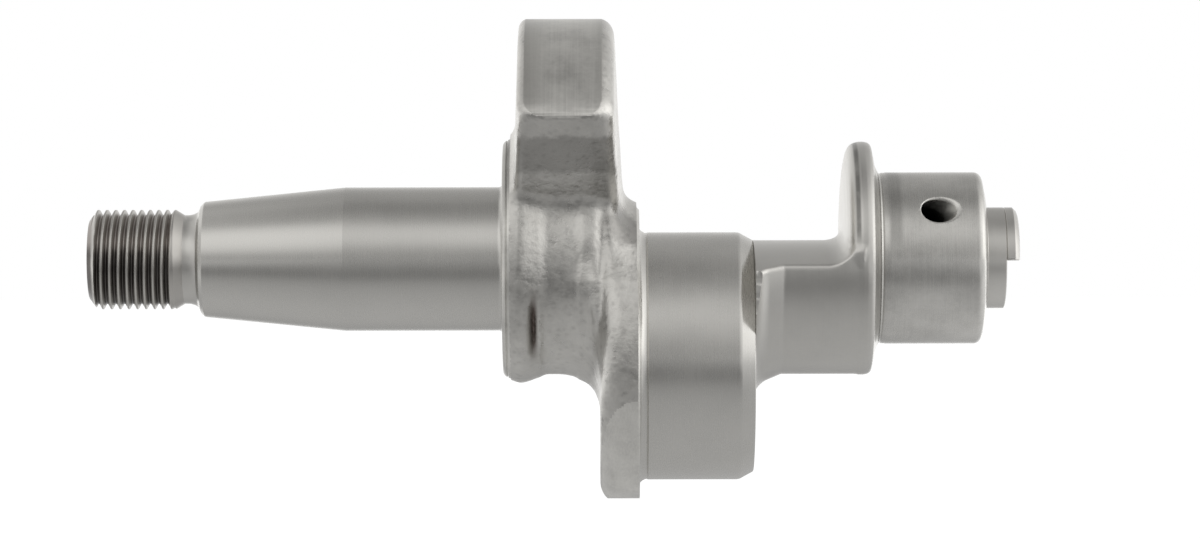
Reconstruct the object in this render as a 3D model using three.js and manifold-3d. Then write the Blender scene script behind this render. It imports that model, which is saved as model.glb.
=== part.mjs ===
// One-piece forged crankshaft with a single oversized crankpin, a tapered and threaded nose, and a half dog
// at the drive end. X runs along the main axis toward the drive end, Z points up toward the counterweight,
// and the crankpin hangs below the main axis. All sizes are in millimetres. The forging is divided at its own
// shoulders into sections that meet on flat planes.
import * as THREE from 'three';
import { mergeVertices } from 'three/addons/utils/BufferGeometryUtils.js';
import Module from 'manifold-3d';

const wasm = await Module();
wasm.setup();

// stations along the main axis
const X_NOSE = -84.5;
const X_THREAD_END = -67.2;
const X_SHOULDER = -64.7;
const X_TAPER_START = -63.4;
const X_TAPER_END = -37.9;
const X_COLLAR_FACE = -9.1;
const X_WEB_FRONT = -6.8;
const X_RIM_END = -3.0;
const X_CHEEK_FRONT = 8.5;
const X_WEB_BACK = 12.5;
const X_CHEEK_FACE = 15.6;
const X_PIN_END = 36.3;
const X_FLANGE_FRONT = 52.4;
const X_FLANGE_BACK = 59.0;
const X_JOURNAL_END = 78.4;
const X_BOSS_END = 82.1;
const X_DOG_ROOT = 82.4;
const X_DOG_END = 84.5;

// thread and nose
const THREAD_R = 9.08;
const THREAD_PITCH = 1.57;
const THREAD_DEPTH = 0.98;
const NOSE_BEVEL = 1.4;
const RELIEF_R = 8.08;
const RELIEF_CORNER = 0.6;
const CENTRE_HOLE_R = 1.6;
const CENTRE_CONE_R = 3.2;
const CENTRE_DEPTH = 6.5;

// journals and collar
const TAPER_SMALL_R = 10.52;
const FRONT_R = 13.08;
const FRONT_FILLET = 0.9;
const COLLAR_R = 22.5;
const REAR_R = 15.62;
const FLANGE_R = 21.25;
const BOSS_R = 9.2;

// crank throw, web and counterweight
const THROW = 17.76;
const PIN_R = 22.53;
const PIN_BEVEL_R = 21.1;
const PIN_BEVEL_LENGTH = 2.6;
const PIN_RELIEF_R = 23.3;
const PIN_RELIEF_DEPTH = 0.3;
const TURNED_R = 43.7;
const SWEEP_SIDES = 61;
const HUB_R = 21.1;
const CHEEK_R = 27.0;
const WEIGHT_SPLIT_Z = 12.0;
const WEIGHT_HALF_ANGLE = 56.8;
const WEIGHT_CORNER = 0.9;
const WEIGHT_FRONT_ROUND = 1.8;
const WEIGHT_BACK_ROUND = 3.0;
const WEIGHT_DRAFT = 1.1;
const FLANK_OUTER_Y = 36.2;
const FLANK_OUTER_Z = 24.3;
const FLANK_INNER_Y = 17.4;
const FLANK_INNER_Z = 8.0;

// rear web
const WEB_R = 21.1;
const WEB_FLARE_R = 24.0;
const WEB_FLARE_END = 41.7;
const CROWN_R = 50.0;
const CROWN_TOP_Z = 3.3;
const CROWN_FILLET = 4.4;

// half dog
const DOG_FLAT_Z = -0.5;
const DOG_CHAMFER = 1.0;

// oil gallery: one drilling slants in from the rear journal, the other from the crankpin, and they meet
const OIL_MOUTH_R = 2.75;
const OIL_FEED_R = 1.7;
const OIL_MOUTH_X = 69.9;
const OIL_MOUTH_ANGLE = 34;
const OIL_TILT = 42;
const PIN_OUTLET_X = 22.0;
const PIN_OUTLET_ANGLE = 22;

const RAD = Math.PI / 180;

// manifold body from a three.js geometry, facing out whichever way the profile was drawn
function solid(geometry) {
  const bare = geometry.clone();
  bare.deleteAttribute('normal');
  bare.deleteAttribute('uv');
  const merged = mergeVertices(bare.index ? bare.toNonIndexed() : bare, 1e-5);
  const vertProperties = Float32Array.from(merged.attributes.position.array);
  const triVerts = Uint32Array.from(merged.index.array);
  let body = new wasm.Manifold(new wasm.Mesh({ numProp: 3, vertProperties, triVerts }));
  if (body.volume() < 0) {
    for (let i = 0; i < triVerts.length; i += 3) {
      [triVerts[i], triVerts[i + 1]] = [triVerts[i + 1], triVerts[i]];
    }
    body = new wasm.Manifold(new wasm.Mesh({ numProp: 3, vertProperties, triVerts }));
  }
  return body;
}

// three.js geometry from a manifold body
function geometryOf(body) {
  const mesh = body.getMesh();
  const positions = new Float32Array(mesh.numVert * 3);
  for (let i = 0; i < mesh.numVert; i += 1) {
    for (let k = 0; k < 3; k += 1) {
      positions[3 * i + k] = mesh.vertProperties[i * mesh.numProp + k];
    }
  }
  const geometry = new THREE.BufferGeometry();
  geometry.setAttribute('position', new THREE.BufferAttribute(positions, 3));
  geometry.setIndex(new THREE.BufferAttribute(Uint32Array.from(mesh.triVerts), 1));
  const flat = geometry.toNonIndexed();
  flat.computeVertexNormals();
  return flat;
}

// body turned about an axis parallel to the main one; the profile holds [x, radius] pairs
function turned(profile, segments, axisZ = 0) {
  const first = profile[0];
  const last = profile[profile.length - 1];
  const closed = [[first[0], 0], ...profile, [last[0], 0]];
  const points = closed.map(([x, radius]) => new THREE.Vector2(radius, x));
  const geometry = new THREE.LatheGeometry(points, segments);
  geometry.rotateZ(-Math.PI / 2);
  geometry.translate(0, 0, axisZ);
  return solid(geometry);
}

// points of a circular fillet or round in an [x, radius] profile
function arc(centreX, centreR, radius, fromDeg, toDeg, steps) {
  const points = [];
  for (let i = 0; i <= steps; i += 1) {
    const angle = (fromDeg + ((toDeg - fromDeg) * i) / steps) * RAD;
    points.push([centreX + radius * Math.cos(angle), centreR + radius * Math.sin(angle)]);
  }
  return points;
}

// prism along X from an outline of [y, z] pairs
function prism(outline, x0, x1) {
  const shape = new THREE.Shape(outline.map(([y, z]) => new THREE.Vector2(y, z)));
  const geometry = new THREE.ExtrudeGeometry(shape, { depth: x1 - x0, bevelEnabled: false });
  geometry.translate(0, 0, x0);
  // local x, y and z become Y, Z and X
  geometry.applyMatrix4(new THREE.Matrix4().set(0, 0, 1, 0, 1, 0, 0, 0, 0, 1, 0, 0, 0, 0, 0, 1));
  return solid(geometry);
}

// straight drilling between two points, running on past the first one
function drilling(mouth, end, radius, overshoot) {
  const inward = end.clone().sub(mouth);
  const depth = inward.length();
  const points = [[0, -overshoot], [radius, -overshoot], [radius, depth], [0, depth + radius * 0.6]];
  const geometry = new THREE.LatheGeometry(points.map(([r, y]) => new THREE.Vector2(r, y)), 24);
  const turn = new THREE.Quaternion().setFromUnitVectors(new THREE.Vector3(0, 1, 0), inward.normalize());
  geometry.applyQuaternion(turn);
  geometry.translate(mouth.x, mouth.y, mouth.z);
  return solid(geometry);
}

// everything on one side of a flat plane through a point, as a large box
function halfSpace(point, outward) {
  const size = 200;
  const geometry = new THREE.BoxGeometry(size, size, size);
  geometry.translate(0, 0, size / 2);
  const up = new THREE.Vector3(0, 0, 1);
  const turn = new THREE.Quaternion().setFromUnitVectors(up, outward.clone().normalize());
  geometry.applyQuaternion(turn);
  geometry.translate(point.x, point.y, point.z);
  return solid(geometry);
}

// helical ridge, cut to length by the turned envelope around it
function threadedEnd() {
  const columns = 30;
  const root = THREAD_R - THREAD_DEPTH;
  const ridge = [[0, root], [0.14, root], [0.5, THREAD_R], [0.64, THREAD_R]];
  const rowsPerPitch = ridge.length;
  const turns = Math.ceil((X_THREAD_END - X_NOSE) / THREAD_PITCH) + 4;
  const start = X_NOSE - 2.5 * THREAD_PITCH;
  const rows = turns * rowsPerPitch + 1;
  const positions = [];
  for (let i = 0; i < rows; i += 1) {
    const [phase, radius] = ridge[i % rowsPerPitch];
    for (let j = 0; j < columns; j += 1) {
      const angle = (2 * Math.PI * j) / columns;
      const x = start + THREAD_PITCH * (Math.floor(i / rowsPerPitch) + phase + j / columns);
      positions.push(x, radius * Math.cos(angle), radius * Math.sin(angle));
    }
  }
  // going once round climbs one pitch, so the last column joins the first one a pitch further on
  const at = (i, j) => (j < columns ? i * columns + j : (i + rowsPerPitch) * columns);
  const index = [];
  for (let i = 0; i < rows - 1; i += 1) {
    for (let j = 0; j < columns; j += 1) {
      if (j === columns - 1 && i + 1 + rowsPerPitch > rows - 1) {
        continue;
      }
      index.push(at(i, j), at(i, j + 1), at(i + 1, j + 1));
      index.push(at(i, j), at(i + 1, j + 1), at(i + 1, j));
    }
  }
  // both ragged ends close on a point of the axis
  const low = positions.length / 3;
  const high = low + 1;
  positions.push(start - THREAD_PITCH, 0, 0);
  positions.push(start + (turns + 2) * THREAD_PITCH, 0, 0);
  const top = rows - 1;
  const lowLoop = [];
  const highLoop = [];
  for (let j = 0; j <= columns; j += 1) {
    lowLoop.push(at(0, j));
  }
  for (let i = rowsPerPitch - 1; i >= 0; i -= 1) {
    lowLoop.push(at(i, 0));
  }
  for (let j = 0; j < columns; j += 1) {
    highLoop.push(at(top, j));
  }
  for (let i = top - 1; i >= top - rowsPerPitch; i -= 1) {
    highLoop.push(at(i, columns - 1));
  }
  highLoop.push(at(top, 0));
  for (let k = 0; k + 1 < lowLoop.length; k += 1) {
    index.push(low, lowLoop[k + 1], lowLoop[k]);
  }
  for (let k = 0; k + 1 < highLoop.length; k += 1) {
    index.push(high, highLoop[k], highLoop[k + 1]);
  }
  const geometry = new THREE.BufferGeometry();
  geometry.setAttribute('position', new THREE.Float32BufferAttribute(positions, 3));
  geometry.setIndex(index);
  const clear = THREAD_R + 0.1;
  const envelope = turned([
    [X_NOSE, THREAD_R - 1.9],
    [X_NOSE + 0.3, THREAD_R - 1.3],
    [X_NOSE + NOSE_BEVEL, clear],
    [X_THREAD_END - 1.1, clear],
    [X_THREAD_END, RELIEF_R],
  ], 30);
  const centre = turned([
    [X_NOSE - 1, CENTRE_CONE_R + 1.7],
    [X_NOSE + (CENTRE_CONE_R - CENTRE_HOLE_R) * 1.7, CENTRE_HOLE_R],
    [X_NOSE + CENTRE_DEPTH, CENTRE_HOLE_R],
    [X_NOSE + CENTRE_DEPTH + 1, 0.02],
  ], 24);
  return solid(geometry).intersect(envelope).subtract(centre);
}

const bodies = {};

bodies.threaded_end = threadedEnd();

bodies.thread_relief = turned([
  [X_THREAD_END, RELIEF_R],
  [X_SHOULDER - RELIEF_CORNER, RELIEF_R],
  [X_SHOULDER - RELIEF_CORNER * 0.3, RELIEF_R + RELIEF_CORNER * 0.3],
  [X_SHOULDER, RELIEF_R + RELIEF_CORNER],
], 60);

// the shoulder at the small end is chamfered
bodies.taper_seat = turned([
  [X_SHOULDER, RELIEF_R + RELIEF_CORNER],
  [X_SHOULDER + 0.3, 9.9],
  [X_TAPER_START, TAPER_SMALL_R],
  [X_TAPER_END, FRONT_R],
], 72);

bodies.front_main_journal = turned([
  [X_TAPER_END, FRONT_R],
  ...arc(X_COLLAR_FACE - FRONT_FILLET, FRONT_R + FRONT_FILLET, FRONT_FILLET, -90, 0, 3),
], 72);

// front half of the collar's rounded rim; its thrust face is the ring outside the journal's fillet
bodies.thrust_collar = turned([
  [X_COLLAR_FACE, FRONT_R + FRONT_FILLET],
  [X_COLLAR_FACE, COLLAR_R - 1.6],
  [X_COLLAR_FACE + 0.3, COLLAR_R - 0.9],
  [X_COLLAR_FACE + 1.2, COLLAR_R - 0.4],
  [X_WEB_FRONT, COLLAR_R],
], 72);

// behind the collar: its rim falls away to a forged barrel that swells into the cheek
const rimToBarrel = [
  [X_WEB_FRONT, COLLAR_R],
  [X_WEB_FRONT + 1.4, COLLAR_R - 0.1],
  [X_WEB_FRONT + 2.6, COLLAR_R - 0.6],
  [X_RIM_END, HUB_R],
];
const barrel = turned([...rimToBarrel, [X_WEB_BACK, HUB_R]], 72);
const swell = turned([
  ...rimToBarrel,
  [4.0, HUB_R],
  [5.7, HUB_R + 0.5],
  [7.0, HUB_R + 1.6],
  [7.9, HUB_R + 3.1],
  [X_CHEEK_FRONT, HUB_R + 5.3],
], 72);
const aboveSplit = halfSpace(new THREE.Vector3(0, 0, WEIGHT_SPLIT_Z), new THREE.Vector3(0, 0, 1));
const behindCheek = halfSpace(new THREE.Vector3(X_CHEEK_FRONT, 0, 0), new THREE.Vector3(1, 0, 0));
const pinward = turned([[X_WEB_FRONT, 60], [5.5, 33], [X_CHEEK_FRONT, CHEEK_R - 0.9]], 72, -THROW);
bodies.front_web_hub = swell.intersect(pinward.add(barrel)).subtract(aboveSplit).subtract(behindCheek);

// cheek: a disc about the crankpin, its tip turned down to the shaft's own sweep, with a shallow relief at
// the foot of the pin, so that only the ring outside it touches the connecting rod. The sweep has an odd
// number of sides, each touching the true circle, so that one lies flat at the very bottom
const sweepReach = TURNED_R / Math.cos(Math.PI / SWEEP_SIDES);
const sweep = turned([
  [X_CHEEK_FRONT, sweepReach - 2.8],
  [X_CHEEK_FRONT + 1.5, sweepReach],
  [20, sweepReach],
], SWEEP_SIDES);
const cheekDisc = turned([
  [X_CHEEK_FRONT, CHEEK_R - 0.9],
  [X_CHEEK_FRONT + 1.0, CHEEK_R],
  [X_CHEEK_FACE - 0.4, CHEEK_R],
  [X_CHEEK_FACE, CHEEK_R - 0.3],
], 72, -THROW);
const pinRelief = turned([
  [X_CHEEK_FACE - PIN_RELIEF_DEPTH, PIN_RELIEF_R],
  [X_CHEEK_FACE + 1, PIN_RELIEF_R],
], 72, -THROW);
const cheekRamp = turned([
  [X_CHEEK_FRONT, 50],
  [X_WEB_BACK - 0.3, 50],
  [X_WEB_BACK + 0.3, CHEEK_R + 3.0],
  [X_CHEEK_FACE, CHEEK_R - 0.3],
], 72, -THROW);
const backDisc = turned([[X_CHEEK_FRONT, HUB_R], [X_CHEEK_FACE, HUB_R]], 72);
bodies.crank_cheek = cheekDisc
  .intersect(sweep)
  .add(backDisc.intersect(cheekRamp))
  .subtract(aboveSplit)
  .subtract(pinRelief);

// counterweight: a fan about the main axis, rounded at its outer edges and thinned toward them by the draft
// on its back face, its flanks running into the barrel
const cornerReach = (WEIGHT_HALF_ANGLE - WEIGHT_CORNER / TURNED_R / RAD) * RAD;
const flank = [
  [FLANK_INNER_Y, FLANK_INNER_Z],
  [FLANK_OUTER_Y - 0.9, FLANK_OUTER_Z - 0.5],
  [FLANK_OUTER_Y - 0.15, FLANK_OUTER_Z],
  [FLANK_OUTER_Y, FLANK_OUTER_Z + 0.15],
  [TURNED_R * Math.sin(cornerReach), TURNED_R * Math.cos(cornerReach)],
];
const fanOutline = [
  ...flank,
  [20, 55],
  [-20, 55],
  ...flank.map(([y, z]) => [-y, z]).reverse(),
];
const fanBack = X_WEB_BACK - WEIGHT_DRAFT;
const fanRim = turned([
  ...arc(X_WEB_FRONT + WEIGHT_FRONT_ROUND, TURNED_R - WEIGHT_FRONT_ROUND, WEIGHT_FRONT_ROUND, 180, 90, 4),
  ...arc(fanBack - WEIGHT_BACK_ROUND, TURNED_R - WEIGHT_BACK_ROUND, WEIGHT_BACK_ROUND, 90, 0, 4),
  [X_WEB_BACK, WEIGHT_SPLIT_Z],
], 120);
bodies.counterweight = prism(fanOutline, X_WEB_FRONT, X_WEB_BACK)
  .intersect(fanRim)
  .add(barrel)
  .intersect(aboveSplit);

// crankpin, with a lead-in cone at the end that the connecting rod slides over
bodies.crankpin = turned([
  [X_CHEEK_FACE - PIN_RELIEF_DEPTH, PIN_R],
  [X_PIN_END - PIN_BEVEL_LENGTH, PIN_R],
  [X_PIN_END, PIN_BEVEL_R],
], 72, -THROW);

// rear flange: a thin disc, coned on both faces
bodies.rear_flange = turned([
  [X_FLANGE_FRONT, 13.5],
  [X_FLANGE_FRONT + 0.8, 18.2],
  [X_FLANGE_FRONT + 1.6, 20.2],
  [X_FLANGE_FRONT + 2.4, FLANGE_R - 0.35],
  [X_FLANGE_FRONT + 3.4, FLANGE_R],
  [X_FLANGE_FRONT + 4.3, FLANGE_R - 0.1],
  [X_FLANGE_FRONT + 5.3, FLANGE_R - 0.75],
  [X_FLANGE_BACK - 0.4, 16.9],
  [X_FLANGE_BACK, REAR_R + 0.15],
], 72);

// rear web: turned with the flange, flaring toward the crankpin, and cut away above in a shallow crown that
// is filleted up into the flange
const webBelow = turned([
  [X_PIN_END, WEB_FLARE_R],
  [X_PIN_END + 1.2, WEB_R + 1.6],
  [X_PIN_END + 2.8, WEB_R + 0.7],
  [WEB_FLARE_END, WEB_R],
  [X_FLANGE_FRONT + 3.2, WEB_R],
], 72);
const webAbove = turned([
  [X_PIN_END, CROWN_R],
  [X_FLANGE_FRONT - CROWN_FILLET, CROWN_R],
  [X_FLANGE_FRONT - CROWN_FILLET * 0.45, CROWN_R + 0.3],
  [X_FLANGE_FRONT - CROWN_FILLET * 0.15, CROWN_R + 1.0],
  [X_FLANGE_FRONT, CROWN_R + 1.9],
  [X_FLANGE_FRONT + 3.2, CROWN_R + 3.6],
], 180, CROWN_TOP_Z - CROWN_R);
bodies.rear_web = webBelow.intersect(webAbove).subtract(bodies.rear_flange);

bodies.rear_main_journal = turned([
  [X_FLANGE_BACK, REAR_R + 0.15],
  [X_FLANGE_BACK + 0.4, REAR_R],
  [X_JOURNAL_END - 2.0, REAR_R],
  [X_JOURNAL_END - 1.2, REAR_R - 0.3],
  [X_JOURNAL_END - 0.7, REAR_R - 1.1],
  [X_JOURNAL_END - 0.2, REAR_R - 2.8],
  [X_JOURNAL_END, REAR_R - 3.6],
], 72);

// half dog: the upper half of the boss carried on, with a flat drive face; its root belongs to the boss
const belowFlat = halfSpace(new THREE.Vector3(0, 0, DOG_FLAT_Z), new THREE.Vector3(0, 0, -1));
const pastBoss = halfSpace(new THREE.Vector3(X_BOSS_END, 0, 0), new THREE.Vector3(1, 0, 0));
bodies.drive_boss = turned([[X_JOURNAL_END, BOSS_R], [X_DOG_ROOT, BOSS_R]], 60)
  .subtract(belowFlat.intersect(pastBoss));
bodies.drive_dog = turned([
  [X_DOG_ROOT, BOSS_R],
  [X_DOG_END - DOG_CHAMFER, BOSS_R],
  [X_DOG_END, BOSS_R - DOG_CHAMFER * 1.2],
], 60).subtract(belowFlat);

// oil gallery through the rear journal, flange, web and crankpin
const mouthSide = new THREE.Vector3(0, -Math.cos(OIL_MOUTH_ANGLE * RAD), Math.sin(OIL_MOUTH_ANGLE * RAD));
const mouth = mouthSide.clone().multiplyScalar(REAR_R).setX(OIL_MOUTH_X);
const meeting = new THREE.Vector3(OIL_MOUTH_X - REAR_R * Math.tan(OIL_TILT * RAD), 0, 0);
const outlet = new THREE.Vector3(
  PIN_OUTLET_X,
  PIN_R * Math.cos(PIN_OUTLET_ANGLE * RAD),
  -THROW + PIN_R * Math.sin(PIN_OUTLET_ANGLE * RAD),
);
const gallery = drilling(mouth, meeting, OIL_MOUTH_R, 8).add(drilling(outlet, meeting, OIL_FEED_R, 8));
for (const name of ['rear_main_journal', 'rear_flange', 'rear_web', 'crankpin']) {
  bodies[name] = bodies[name].subtract(gallery);
}

const steel = {
  machined: { color: 0x96938e, roughness: 0.34, metalness: 0.95 },
  ground: { color: 0x9b9994, roughness: 0.24, metalness: 1.0 },
  forged: { color: 0x8c8883, roughness: 0.5, metalness: 0.9 },
};
const finishOf = {
  threaded_end: 'machined',
  thread_relief: 'machined',
  taper_seat: 'ground',
  front_main_journal: 'ground',
  thrust_collar: 'machined',
  front_web_hub: 'forged',
  crank_cheek: 'forged',
  counterweight: 'forged',
  crankpin: 'ground',
  rear_web: 'machined',
  rear_flange: 'machined',
  rear_main_journal: 'ground',
  drive_boss: 'machined',
  drive_dog: 'machined',
};

const crankshaft = new THREE.Group();
crankshaft.name = 'crankshaft';
for (const [name, finish] of Object.entries(finishOf)) {
  const mesh = new THREE.Mesh(geometryOf(bodies[name]), new THREE.MeshStandardMaterial(steel[finish]));
  mesh.name = name;
  crankshaft.add(mesh);
}

export default crankshaft;
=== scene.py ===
import math

import bmesh
import bpy
import numpy as np
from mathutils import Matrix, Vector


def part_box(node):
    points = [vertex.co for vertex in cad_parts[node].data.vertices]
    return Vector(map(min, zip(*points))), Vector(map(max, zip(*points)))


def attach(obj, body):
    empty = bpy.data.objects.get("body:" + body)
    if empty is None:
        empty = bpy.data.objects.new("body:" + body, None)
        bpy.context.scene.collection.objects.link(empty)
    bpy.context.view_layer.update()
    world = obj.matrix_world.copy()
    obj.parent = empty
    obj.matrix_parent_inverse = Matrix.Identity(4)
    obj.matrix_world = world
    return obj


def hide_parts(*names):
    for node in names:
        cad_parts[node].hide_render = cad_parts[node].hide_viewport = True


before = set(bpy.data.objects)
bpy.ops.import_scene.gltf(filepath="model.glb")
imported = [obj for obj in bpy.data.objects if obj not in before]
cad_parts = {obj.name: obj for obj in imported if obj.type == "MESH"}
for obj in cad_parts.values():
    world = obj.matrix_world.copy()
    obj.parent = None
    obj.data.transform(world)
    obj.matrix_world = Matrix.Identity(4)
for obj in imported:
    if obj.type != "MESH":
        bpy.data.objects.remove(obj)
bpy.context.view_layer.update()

import openvdb
from mathutils import Vector

MM = 0.001


# ---------------------------------------------------------------- stations, in mm, from the CAD frame
def box_mm(node):
    lo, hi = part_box(node)
    return np.array(lo) / MM, np.array(hi) / MM


def ends(node):
    lo, hi = box_mm(node)
    return float(lo[0]), float(hi[0])


def radius(node):
    lo, hi = box_mm(node)
    return float(hi[2] - lo[2]) / 2


X_NOSE, X_THREAD_END = ends("threaded_end")
X_SHOULDER = ends("taper_seat")[0]
X_TAPER_END = ends("taper_seat")[1]
X_COLLAR, X_WEB_FRONT = ends("thrust_collar")
X_CHEEK_FRONT, X_CHEEK = ends("crank_cheek")
X_WEB_BACK = ends("counterweight")[1]
X_PIN_END = ends("crankpin")[1]
X_FLANGE, X_FLANGE_BACK = ends("rear_flange")
X_JOURNAL_END = ends("rear_main_journal")[1]
X_BOSS_END = 82.1
X_DOG_END = ends("drive_dog")[1]

THREAD_R = 9.08
TAPER_R = radius("taper_seat")
COLLAR_R = radius("thrust_collar")
PIN_R = radius("crankpin")
PIN_Z = float(box_mm("crankpin")[0][2]) + PIN_R
CHEEK_R = float(box_mm("crank_cheek")[1][1])
FLANGE_R = radius("rear_flange")
BOSS_R = radius("drive_boss")
DOG_FLAT = float(box_mm("drive_dog")[0][2])
SWEEP_R = float(box_mm("counterweight")[1][2])
FLOOR_Z = float(box_mm("crank_cheek")[0][2])

# sizes that the boxes don't give
PITCH = 1.57
THREAD_DEPTH = 0.98
RELIEF_R = 8.08
SMALL_R = 10.52
HUB_R = 21.1
REAR_R = 15.62
WEB_R = 21.1
CROWN_R = 50.0
CROWN_TOP = 3.3
PIN_FOOT_R = 23.3
# the fan's corners, the fold behind the collar, the hollow beside the cheek, and the oil drillings
CORNER_ROUND = 4.2
FOLD_X = -3.45
FOLD_ANGLE = -36
HOLLOW_X = 8.8
OIL_R = 2.45
OIL_MOUTH_ROUND = 0.55
OIL_MOUTH_X = 69.9
PIN_OIL_R = 1.7
PIN_OIL_X = 22.0


# ---------------------------------------------------------------- mesh helpers
def make(name, verts, faces, smooth_deg=32, materials=()):
    mesh = bpy.data.meshes.new(name)
    mesh.from_pydata((np.asarray(verts) * MM).tolist(), [], [list(map(int, f)) for f in faces])
    mesh.validate()
    mesh.update()
    obj = bpy.data.objects.new(name, mesh)
    bpy.context.scene.collection.objects.link(obj)
    for m in materials:
        mesh.materials.append(m)
    shade(obj, smooth_deg)
    return obj


def shade(obj, degrees):
    mesh = obj.data
    mesh.polygons.foreach_set("use_smooth", [True] * len(mesh.polygons))
    mesh.set_sharp_from_angle(angle=math.radians(degrees))


def arc(cx, cr, rad, a0, a1, n):
    """Points of a circular round in an (x, radius) profile; angles in degrees."""
    t = np.radians(np.linspace(a0, a1, n + 1))
    return [(cx + rad * math.cos(a), cr + rad * math.sin(a)) for a in t]


def lathe(name, profile, segments=192, axis_z=0.0, smooth_deg=32, materials=()):
    """Closed body turned about the line y = 0, z = axis_z from (x, radius) pairs."""
    pts = [(profile[0][0], 0.0)] + list(profile) + [(profile[-1][0], 0.0)]
    verts, rings = [], []
    ang = np.linspace(0, 2 * math.pi, segments, endpoint=False)
    for x, r in pts:
        if r < 1e-6:
            rings.append([len(verts)])
            verts.append((x, 0.0, axis_z))
            continue
        rings.append(list(range(len(verts), len(verts) + segments)))
        verts.extend((x, r * math.sin(a), axis_z + r * math.cos(a)) for a in ang)
    faces = []
    for a, b in zip(rings, rings[1:]):
        for j in range(segments):
            k = (j + 1) % segments
            if len(a) == 1 and len(b) == 1:
                continue
            if len(a) == 1:
                faces.append((a[0], b[j], b[k]))
            elif len(b) == 1:
                faces.append((a[k], a[j], b[0]))
            else:
                faces.append((a[k], a[j], b[j], b[k]))
    return make(name, verts, faces, smooth_deg, materials)


def boolean(obj, cutter, how="DIFFERENCE", smooth_deg=32):
    """Cuts an object with another, which is used up, and tidies the shading."""
    mod = obj.modifiers.new("cut", "BOOLEAN")
    mod.operation = how
    mod.solver = "MANIFOLD"
    mod.object = cutter
    dg = bpy.context.evaluated_depsgraph_get()
    dg.update()
    mesh = bpy.data.meshes.new_from_object(obj.evaluated_get(dg), depsgraph=dg)
    obj.modifiers.remove(mod)
    old = obj.data
    mesh.name = old.name
    obj.data = mesh
    bpy.data.meshes.remove(old)
    data = cutter.data
    bpy.data.objects.remove(cutter)
    bpy.data.meshes.remove(data)
    shade(obj, smooth_deg)
    return obj


def facing_out(obj):
    bm = bmesh.new()
    bm.from_mesh(obj.data)
    bmesh.ops.recalc_face_normals(bm, faces=bm.faces)
    bm.to_mesh(obj.data)
    bm.free()
    return obj


# ---------------------------------------------------------------- signed distances, in mm
def length(*parts):
    return np.sqrt(sum(p * p for p in parts))


def smin(a, b, k):
    h = np.maximum(k - np.abs(a - b), 0.0) / k
    return np.minimum(a, b) - h * h * k * 0.25


def smax(a, b, k):
    return -smin(-a, -b, k)


def polygon(px, py, pts):
    """Distance to a closed outline, negative inside."""
    pts = np.asarray(pts, float)
    best = np.full(px.shape, 1e9)
    inside = np.zeros(px.shape, bool)
    for (ax, ay), (bx, by) in zip(pts, np.roll(pts, -1, axis=0)):
        ex, ey = bx - ax, by - ay
        wx, wy = px - ax, py - ay
        t = np.clip((wx * ex + wy * ey) / (ex * ex + ey * ey), 0, 1)
        best = np.minimum(best, (wx - t * ex) ** 2 + (wy - t * ey) ** 2)
        crosses = (ay > py) != (by > py)
        with np.errstate(divide="ignore", invalid="ignore"):
            at = ax + (py - ay) * ex / (ey if ey else 1e-12)
        inside ^= crosses & (px < at)
    return np.where(inside, -1, 1) * np.sqrt(best)


rng = np.random.default_rng(7)
TABLE = rng.uniform(-1, 1, (64, 64, 64)).astype(np.float32)


def lattice_noise(x, y, z, scale):
    """Smooth value noise with features about scale mm across."""
    out = 0
    cells = [np.floor(c / scale).astype(int) for c in (x, y, z)]
    frac = [c / scale - i for c, i in zip((x, y, z), cells)]
    w = [f * f * f * (f * (f * 6 - 15) + 10) for f in frac]
    for i in (0, 1):
        for j in (0, 1):
            for k in (0, 1):
                v = TABLE[(cells[0] + i) & 63, (cells[1] + j) & 63, (cells[2] + k) & 63]
                share = [f if far else 1 - f for f, far in zip(w, (i, j, k))]
                out = out + v * share[0] * share[1] * share[2]
    return out


def skin(name, sdf, lo, hi, step, smooth_deg=40, materials=()):
    """Closed mesh of a signed distance's zero surface, its points pulled onto the surface."""
    lo = np.asarray(lo, float) - 2.5 * step
    count = np.ceil((np.asarray(hi, float) + 2.5 * step - lo) / step).astype(int) + 1
    axes = [lo[i] + step * np.arange(count[i]) for i in range(3)]
    grid = np.stack(np.meshgrid(*axes, indexing="ij"), axis=0)
    values = sdf(*grid).astype(np.float32)
    volume = openvdb.FloatGrid(background=3.0)
    volume.copyFromArray(np.clip(values, -3, 3))
    points, quads = volume.convertToQuads(isovalue=0.0)
    points = points.astype(float) * step + lo
    for _ in range(4):
        d = sdf(*points.T)
        e = 0.02
        grad = np.stack([
            sdf(*(points + np.eye(3)[i] * e).T) - sdf(*(points - np.eye(3)[i] * e).T) for i in range(3)
        ], axis=1) / (2 * e)
        norm = np.maximum((grad ** 2).sum(1, keepdims=True), 0.05)
        points -= np.clip(d[:, None] * grad / norm, -0.5 * step, 0.5 * step)
    return facing_out(make(name, points, quads, smooth_deg, materials))


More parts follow.
